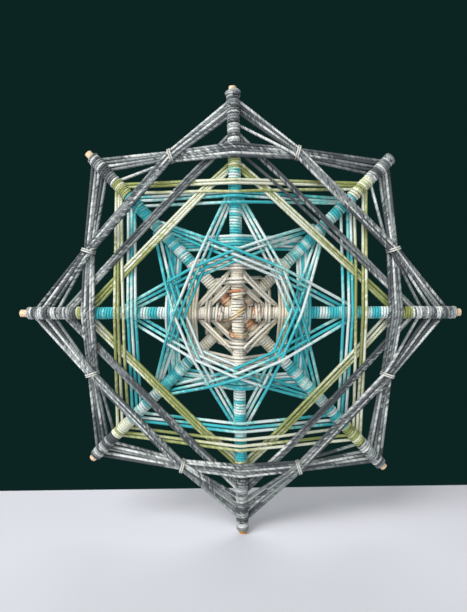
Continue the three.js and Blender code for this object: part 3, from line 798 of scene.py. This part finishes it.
def make_yarns(colours):
    """The yarns of the mandala."""
    ivory, straw, rust, honey = colours.ivory, colours.straw, colours.rust, colours.honey
    white, sea, blue = colours.white, colours.sea_green, colours.turquoise
    lime, moss, olive = colours.pale_lime, colours.moss, colours.olive
    charcoal, slate, ash = colours.charcoal, colours.slate, colours.ash
    return {
        "rust": yarn_material(
            "cotton yarn, rust and cream",
            [(0.0, ivory), (0.35, straw), (0.5, rust), (0.66, rust), (0.8, ivory)],
            repeat=64, stray=0.7, ply_shift=0.15, speckle=0.3),
        "honey": yarn_material(
            "cotton yarn, honey",
            [(0.0, honey), (0.45, honey), (0.6, ivory), (0.9, ivory)],
            repeat=24, stray=0.4, ply_shift=0.1, speckle=0.2),
        "cream": yarn_material(
            "cotton yarn, cream",
            [(0.0, ivory), (0.55, ivory), (0.75, straw), (0.9, ivory)],
            repeat=240, stray=0.5, ply_shift=0.1, speckle=0.15),
        "aqua": yarn_material(
            "cotton yarn, turquoise and white",
            [(0.0, white), (0.26, white), (0.4, sea), (0.53, blue), (0.82, blue), (0.93, sea)],
            repeat=130, stray=0.9, ply_shift=0.12, speckle=0.25),
        "turquoise": yarn_material(
            "cotton yarn, turquoise",
            [(0.0, sea), (0.16, blue), (0.84, blue)],
            repeat=90, stray=0.6, ply_shift=0.1, speckle=0.2),
        "green": yarn_material(
            "cotton yarn, olive and pale lime",
            [(0.0, lime), (0.28, lime), (0.48, moss), (0.68, olive), (0.82, olive), (0.94, moss)],
            repeat=160, stray=0.8, ply_shift=0.15, speckle=0.3),
        "grey": yarn_material(
            "cotton yarn, grey marl",
            [(0.0, charcoal), (0.24, charcoal), (0.42, slate), (0.56, charcoal), (0.72, ash),
             (0.88, slate)],
            repeat=220, stray=0.9, ply_shift=0.18, speckle=0.18),
        "silver": yarn_material(
            "cotton yarn, light grey",
            [(0.0, colours.silver), (0.6, colours.silver), (0.8, ash)],
            repeat=50, stray=0.4, ply_shift=0.1, speckle=0.2),
    }


def wood_material(colours):
    """Birch dowel, turned and sawn: pale and dry, with fine grain along it and rings on its ends."""
    material, tree, shader = start_material("birch dowel", {"Roughness": 0.7, "Specular IOR Level": 0.35})
    grain = add_node(tree, "ShaderNodeAttribute", attribute_name="grain").outputs["Vector"]
    foot_tint = add_node(tree, "ShaderNodeAttribute", attribute_name="foot_tint").outputs["Fac"]
    # Grain lines are about half a millimetre apart and run some 20 mm along the stick
    across, along = 1 / (0.5 * MM), 1 / (20 * MM)
    lines_at = add_node(tree, "ShaderNodeMapping", {"Vector": grain, "Scale": (across, across, along)})
    lines = add_node(tree, "ShaderNodeTexNoise",
                     {"Vector": lines_at.outputs[0], "Scale": 1.0, "Detail": 4.0})
    birch = Vector(colours.birch)
    dark, light = birch * 0.72, birch * 1.06
    wood = add_node(tree, "ShaderNodeValToRGB", {"Fac": lines.outputs["Fac"]},
                    [(0.3, dark), (0.55, birch), (0.8, light)])
    # The foot of the upright is coloured amber
    foot = add_node(tree, "ShaderNodeMix", {"Factor": foot_tint}, data_type="RGBA")
    tree.links.new(wood.outputs["Color"], foot.inputs[6])
    foot.inputs[7].default_value = (*colours.amber, 1)
    tree.links.new(foot.outputs[2], shader.inputs["Base Color"])
    bump = add_node(tree, "ShaderNodeBump",
                    {"Height": lines.outputs["Fac"], "Strength": 0.6, "Distance": 0.15 * MM})
    tree.links.new(bump.outputs["Normal"], shader.inputs["Normal"])
    return material


class MANDALA_OT_sticks(Operator):
    """Turn the four crossed dowels"""
    bl_idname = "mandala.sticks"
    bl_label = "Sticks"

    def execute(self, context):
        sizes = context.scene.mandala_sizes
        loom["winder"] = Winder(sizes)
        loom["yarns"] = make_yarns(context.scene.mandala_colours)
        material = wood_material(context.scene.mandala_colours)
        for order, (node, (angle, slide)) in enumerate(STICKS.items()):
            shape = self.turn_dowel(sizes)
            places = [vertex.co.copy() for vertex in shape.verts]
            for vertex in shape.verts:
                vertex.co += self.wobble(vertex.co, order)
            heading = math.radians(angle)
            axis = Vector((math.cos(heading), 0, math.sin(heading)))
            move = Matrix.Translation(axis * slide * MM + Vector((0, stick_depth(order, sizes), 0)))
            turn = Matrix.Rotation(math.pi / 2 - heading, 4, "Y")
            bmesh.ops.transform(shape, matrix=move @ turn, verts=shape.verts[:])
            mesh = bpy.data.meshes.new(node + "_dowel")
            shape.to_mesh(mesh)
            shape.free()
            grain = mesh.attributes.new("grain", "FLOAT_VECTOR", "POINT")
            grain.data.foreach_set("vector", np.array(places, np.float32).ravel())
            # The upright is coloured amber for its last few mm at the foot
            foot = sizes.tinted_foot - sizes.stick_length / 2
            tinted = [float(node == "stick_upright" and place.z < foot) for place in places]
            foot_tint = mesh.attributes.new("foot_tint", "FLOAT", "POINT")
            foot_tint.data.foreach_set("value", np.array(tinted, np.float32))
            piece = bpy.data.objects.new(node + "_dowel", mesh)
            context.scene.collection.objects.link(piece)
            finish_piece(piece, material, [node])
        return {"FINISHED"}

    @staticmethod
    def turn_dowel(sizes):
        """A dowel along Z with worn rims and rings on its sawn ends."""
        shape = bmesh.new()
        bmesh.ops.create_cone(
            shape, cap_ends=True, segments=DOWEL_SIDES, radius1=sizes.stick_diameter / 2,
            radius2=sizes.stick_diameter / 2, depth=sizes.stick_length)
        rims = [edge for edge in shape.edges if edge.calc_length() < sizes.stick_length / 2]
        bmesh.ops.bevel(shape, geom=rims, offset=sizes.end_bevel, segments=RIM_STEPS, profile=0.5,
                        affect="EDGES", material=-1)
        caps = [face for face in shape.faces if abs(face.normal.z) > CAP_FACING]
        bmesh.ops.inset_individual(shape, faces=caps, thickness=sizes.stick_diameter / RING_PART)
        sides = [edge for edge in shape.edges if edge.calc_length() > sizes.stick_length / 2]
        bmesh.ops.subdivide_edges(shape, edges=sides, cuts=DOWEL_CUTS)
        for face in shape.faces:
            face.smooth = abs(face.normal.z) < SIDE_FACING
        return shape

    @staticmethod
    def wobble(place, order):
        """A turned dowel is never quite round."""
        swell = SWELL * math.sin(place.z / MM * SWELL_WAVE + order * SWELL_SHIFT)
        return Vector((place.x, place.y, 0)) * swell


class MANDALA_OT_hub(Operator):
    """Lash the sticks together at the crossing and cover the crossing"""
    bl_idname = "mandala.hub"
    bl_label = "Hub"

    def execute(self, context):
        winder = loom["winder"]
        path = winder.half_turns(0, -HUB_REACH, HUB_REACH)
        lay_yarn(context, "hub_upright_yarn", path, "cream", HUB_START)
        for index in CROSS[1::2]:
            path = winder.half_turns(index, HUB_REACH - 2 * winder.pitch, HUB_REACH)
            lay_yarn(context, f"hub_{winder.arms[index].name}_yarn", path, "cream", HUB_SIDE_START)
        lay_yarn(context, "eye_lashing_yarn", self.lash(winder), "honey", 0.0, LASHING_THICKNESS,
                 nodes=["eye_lashing"])
        return {"FINISHED"}

    def lash(self, winder):
        """Slanting turns round the whole crossing, through the gaps on both sides of the level arms."""
        gaps = []
        clear = winder.reach + winder.yarn / 2
        for index, arm in enumerate(winder.arms):
            following = winder.arms[(index + 1) % len(winder.arms)]
            half = arm.out.angle(following.out) / 2
            gaps.append((arm.out + following.out).normalized() * clear / math.sin(half))
        path = []
        for number, (here, there) in enumerate(LASHING):
            beside = Vector((0, winder.yarn * LASHING_THICKNESS * (number - 1) / 2))
            path += self.cross(winder, gaps[here], gaps[there], beside, 1 if number % 2 else -1)
        return path

    @staticmethod
    def cross(winder, here, there, beside, way):
        """One pass across the crossing, in front or behind: over the outermost stick, steeper there, and
        under the turns on the others."""
        outermost = winder.arms[0 if way < 0 else 1]
        path = []
        for step in range(WRAP_SAMPLES + 1):
            share = step / WRAP_SAMPLES
            flat = here.lerp(there, share)
            flat.y *= 1 + LASHING_STEEPER * (1 - abs(2 * share - 1))
            flat += beside
            rises = [0.0]
            for arm in winder.arms:
                over = LASHING_OVER if arm.depth == outermost.depth else LASHING_UNDER
                crest = winder.reach + winder.yarn * over
                aside = abs(flat.dot(arm.across)) / crest
                if aside < 1:
                    rises.append(way * arm.depth + crest * math.sqrt(1 - aside * aside))
            path.append((Vector((flat.x, way * max(rises), flat.y)), Vector()))
        return path


def outs_on(name, index):
    """How far out each loop of a winding starts on an arm, and where its last one ends."""
    on_cross, on_slant = WINDINGS[name][2:]
    return ARM_OUTS.get((name, index), on_cross if index in CROSS else on_slant)


def wind_all(context, names):
    """Winds each of these windings over what is already there."""
    winder = loom["winder"]
    leads = {"aqua_star": winder.star_pass, "grey_square": winder.square_ties,
             "grey_diamond_lone": winder.lone_ties, "grey_diamond_outer": winder.diamond_ties}
    leads.update({name: winder.drawn_pass(name) for name in PASS_DRAWN})
    for order, name in enumerate(names):
        yarn, arms = WINDINGS[name][:2]
        outs = {arm: outs_on(name, arm) for arm in arms}
        path = winder.wind(arms, outs, leads.get(name))
        nodes = [name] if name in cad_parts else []
        lay_yarn(context, name + "_yarn", path, yarn, order * WINDING_START, nodes=nodes)


class MANDALA_OT_eye(Operator):
    """Wind the small squares and diamonds of the eye"""
    bl_idname = "mandala.eye"
    bl_label = "Eye"

    def execute(self, context):
        wind_all(context, EYE)
        return {"FINISHED"}


class MANDALA_OT_cream(Operator):
    """Wind the cream square round the eye"""
    bl_idname = "mandala.cream"
    bl_label = "Cream square"

    def execute(self, context):
        wind_all(context, CREAM)
        return {"FINISHED"}


class MANDALA_OT_aqua(Operator):
    """Wind the turquoise squares and the star"""
    bl_idname = "mandala.aqua"
    bl_label = "Turquoise squares and star"

    def execute(self, context):
        wind_all(context, AQUA)
        return {"FINISHED"}


class MANDALA_OT_green(Operator):
    """Wind the green diamond and square"""
    bl_idname = "mandala.green"
    bl_label = "Green diamond and square"

    def execute(self, context):
        wind_all(context, GREEN)
        return {"FINISHED"}


class MANDALA_OT_grey(Operator):
    """Wind the grey diamonds and square"""
    bl_idname = "mandala.grey"
    bl_label = "Grey diamonds and square"

    def execute(self, context):
        wind_all(context, GREY)
        return {"FINISHED"}


class MANDALA_OT_covers(Operator):
    """Wrap the stretches of arm between the windings"""
    bl_idname = "mandala.covers"
    bl_label = "Covers"

    def execute(self, context):
        winder = loom["winder"]
        for index, arm in enumerate(winder.arms):
            covers = CROSS_COVERS if index in CROSS else SLANT_COVERS
            for name, (yarn, first, last) in covers.items():
                node = f"{name}_{arm.name}"
                nodes = [node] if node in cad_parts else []
                first = max(outs_on(first, index)) if first in WINDINGS else first
                last = min(outs_on(last, index)) if last in WINDINGS else last or arm.tip
                if last - first < winder.pitch * SHORTEST_COVER:
                    continue
                start = index * COVER_START + first * COVER_START_BY_OUT
                path = winder.coil(index, first, last)
                yarn = ARM_YARNS.get((name, index), yarn)
                lay_yarn(context, node + "_yarn", path, yarn, start, nodes=nodes)
        there, back = (winder.coil(0, first, last, winder.yarn * lift, BINDING_TURNS)
                       for first, last, lift in TOP_BINDING)
        lay_yarn(context, "binding_top_yarn", there + back[1:], "grey")
        return {"FINISHED"}


class MANDALA_OT_ties(Operator):
    """Bind the outer diamond to the grey square beside each upright and level arm"""
    bl_idname = "mandala.ties"
    bl_label = "Ties"

    def execute(self, context):
        winder = loom["winder"]
        for index in CROSS:
            for side, word in ((-1, "before"), (1, "after")):
                node = f"tie_{winder.arms[index].name}_{word}"
                path = self.bind(winder, index, side)
                start = index * TIE_START + side * TIE_START_BY_SIDE
                lay_yarn(context, node + "_yarn", path, "silver", start, TIE_THICKNESS, [node])
        return {"FINISHED"}

    @staticmethod
    def bind(winder, index, side):
        """Turns of yarn drawn tight round the strands that meet beside an arm, with both ends behind."""
        arm = winder.arms[index]
        centre = arm.plan(TIE_OUTS[index][side > 0], side * TIE_ASIDES[index][side > 0])
        up = arm.out * math.cos(TIE_LEAN) + arm.across * side * math.sin(TIE_LEAN)
        along = arm.across * side * math.cos(TIE_LEAN) - arm.out * math.sin(TIE_LEAN)
        depths, rises = [], []
        for strand in winder.laid:
            for i, point in enumerate(strand.plan[1:-1], start=1):
                if (point - centre).length < TIE_GRASP:
                    depths.append(strand.depth_at(strand.ends[i]))
                    rises.append((point - centre).dot(up))
        spare = winder.strand * (1 + TIE_THICKNESS) / 2
        middle = (max(rises) + min(rises)) / 2, (max(depths) + min(depths)) / 2
        half = (max(rises) - min(rises)) / 2 + spare, (max(depths) - min(depths)) / 2 + spare
        steps = TIE_TURNS * TIE_SAMPLES
        path = []
        for step in range(steps + 1):
            angle = 2 * math.pi * TIE_TURNS * step / steps
            rise, back = (math.copysign(abs(wave) ** TIE_SQUARENESS, wave)
                          for wave in (math.sin(angle), math.cos(angle)))
            flat = centre + up * (middle[0] + half[0] * rise)
            flat += along * (step / steps - 0.5) * TIE_TURNS * winder.strand * TIE_THICKNESS
            path.append((Vector((flat.x, middle[1] + half[1] * back, flat.y)), Vector()))
        return path


class MANDALA_OT_stage(Operator):
    """Set the floor, the lights and the camera"""
    bl_idname = "mandala.stage"
    bl_label = "Stage"

    def execute(self, context):
        colours = context.scene.mandala_colours
        self.lay_floor(context, colours)
        self.hang_lights(context)
        self.set_camera(context)
        world = bpy.data.worlds.new("surroundings")
        world.use_nodes = True
        background = world.node_tree.nodes["Background"]
        background.inputs["Color"].default_value = (*colours.backdrop, 1)
        context.scene.world = world
        context.scene.view_settings.view_transform = "Standard"
        return {"FINISHED"}

    @staticmethod
    def lay_floor(context, colours):
        """A pale painted board under the foot of the upright: even and matte."""
        finish = {"Base Color": (*colours.floor, 1), "Roughness": 0.6}
        material = start_material("painted board", finish)[0]
        width, depth, thickness, far_edge, gap = 3.0, 1.6, 0.02, 0.062, 0.1 * MM
        shape = bmesh.new()
        bmesh.ops.create_cube(shape, size=1)
        bmesh.ops.scale(shape, vec=(width, depth, thickness), verts=shape.verts[:])
        drop = CAD_BOX[0].z - thickness / 2 - gap
        bmesh.ops.translate(shape, vec=(0, far_edge - depth / 2, drop), verts=shape.verts[:])
        mesh = bpy.data.meshes.new("floor")
        shape.to_mesh(mesh)
        shape.free()
        mesh.materials.append(material)
        floor = bpy.data.objects.new("floor", mesh)
        context.scene.collection.objects.link(floor)

    @staticmethod
    def hang_lights(context):
        """Wide soft lights: daylight from above and in front, and a weaker one behind."""
        lights = {
            "sky_light": ((-0.75, -0.7, 1.05), 1.0, 25),
            "front_light": ((0.1, -1.3, 0.3), 1.0, 7),
            "back_light": ((0.2, 1.1, 0.8), 1.2, 9),
        }
        for name, (place, size, power) in lights.items():
            data = bpy.data.lights.new(name, "AREA")
            data.size = size
            data.energy = power
            light = bpy.data.objects.new(name, data)
            light.location = place
            light.rotation_euler = (-Vector(place)).to_track_quat("-Z", "Y").to_euler()
            context.scene.collection.objects.link(light)

    @staticmethod
    def set_camera(context):
        """The photograph's viewpoint, close in front and a little above the eye of the mandala."""
        focal_pixels = 471.2
        viewpoint = Vector((4.4, -323.9, 21.2))
        data = bpy.data.cameras.new("camera")
        data.sensor_width = 36
        data.lens = data.sensor_width * focal_pixels / PHOTO_HEIGHT
        data.clip_start = 0.01
        camera = bpy.data.objects.new("camera", data)
        yaw, pitch, roll, lean = (math.radians(angle) for angle in (1.31, -2.95, 0.06, 1.28))
        turn = Matrix.Rotation(yaw, 3, "Z") @ Matrix.Rotation(pitch, 3, "X") @ Matrix.Rotation(roll, 3, "Y")
        upright = Matrix.Rotation(lean, 3, "Y")
        facing = Matrix.Rotation(math.pi / 2, 3, "X")
        place = upright @ viewpoint * MM
        camera.matrix_world = Matrix.Translation(place) @ (upright @ turn @ facing).to_4x4()
        context.scene.collection.objects.link(camera)
        context.scene.camera = camera


class MANDALA_PT_panel(Panel):
    """Lists the sizes, the colours and the steps that make the mandala, in order"""
    bl_idname = "MANDALA_PT_panel"
    bl_label = "Ojo de Dios"
    bl_space_type = "VIEW_3D"
    bl_region_type = "UI"
    bl_category = "Ojo de Dios"

    def draw(self, context):
        for group in (context.scene.mandala_sizes, context.scene.mandala_colours):
            box = self.layout.box()
            for key in group.__annotations__:
                box.prop(group, key)
        for step in STEPS:
            self.layout.operator(step.bl_idname)


STEPS = (
    MANDALA_OT_sticks, MANDALA_OT_hub, MANDALA_OT_eye, MANDALA_OT_cream, MANDALA_OT_aqua,
    MANDALA_OT_green, MANDALA_OT_grey, MANDALA_OT_covers, MANDALA_OT_ties, MANDALA_OT_stage,
)
CLASSES = (MandalaSizes, MandalaColours, *STEPS, MANDALA_PT_panel)


def register():
    for kind in CLASSES:
        bpy.utils.register_class(kind)
    bpy.types.Scene.mandala_sizes = PointerProperty(type=MandalaSizes)
    bpy.types.Scene.mandala_colours = PointerProperty(type=MandalaColours)


def unregister():
    del bpy.types.Scene.mandala_colours
    del bpy.types.Scene.mandala_sizes
    for kind in reversed(CLASSES):
        bpy.utils.unregister_class(kind)


def main():
    register()
    for step in STEPS:
        group, name = step.bl_idname.split(".")
        getattr(getattr(bpy.ops, group), name)()


if __name__ == "__main__":
    main()
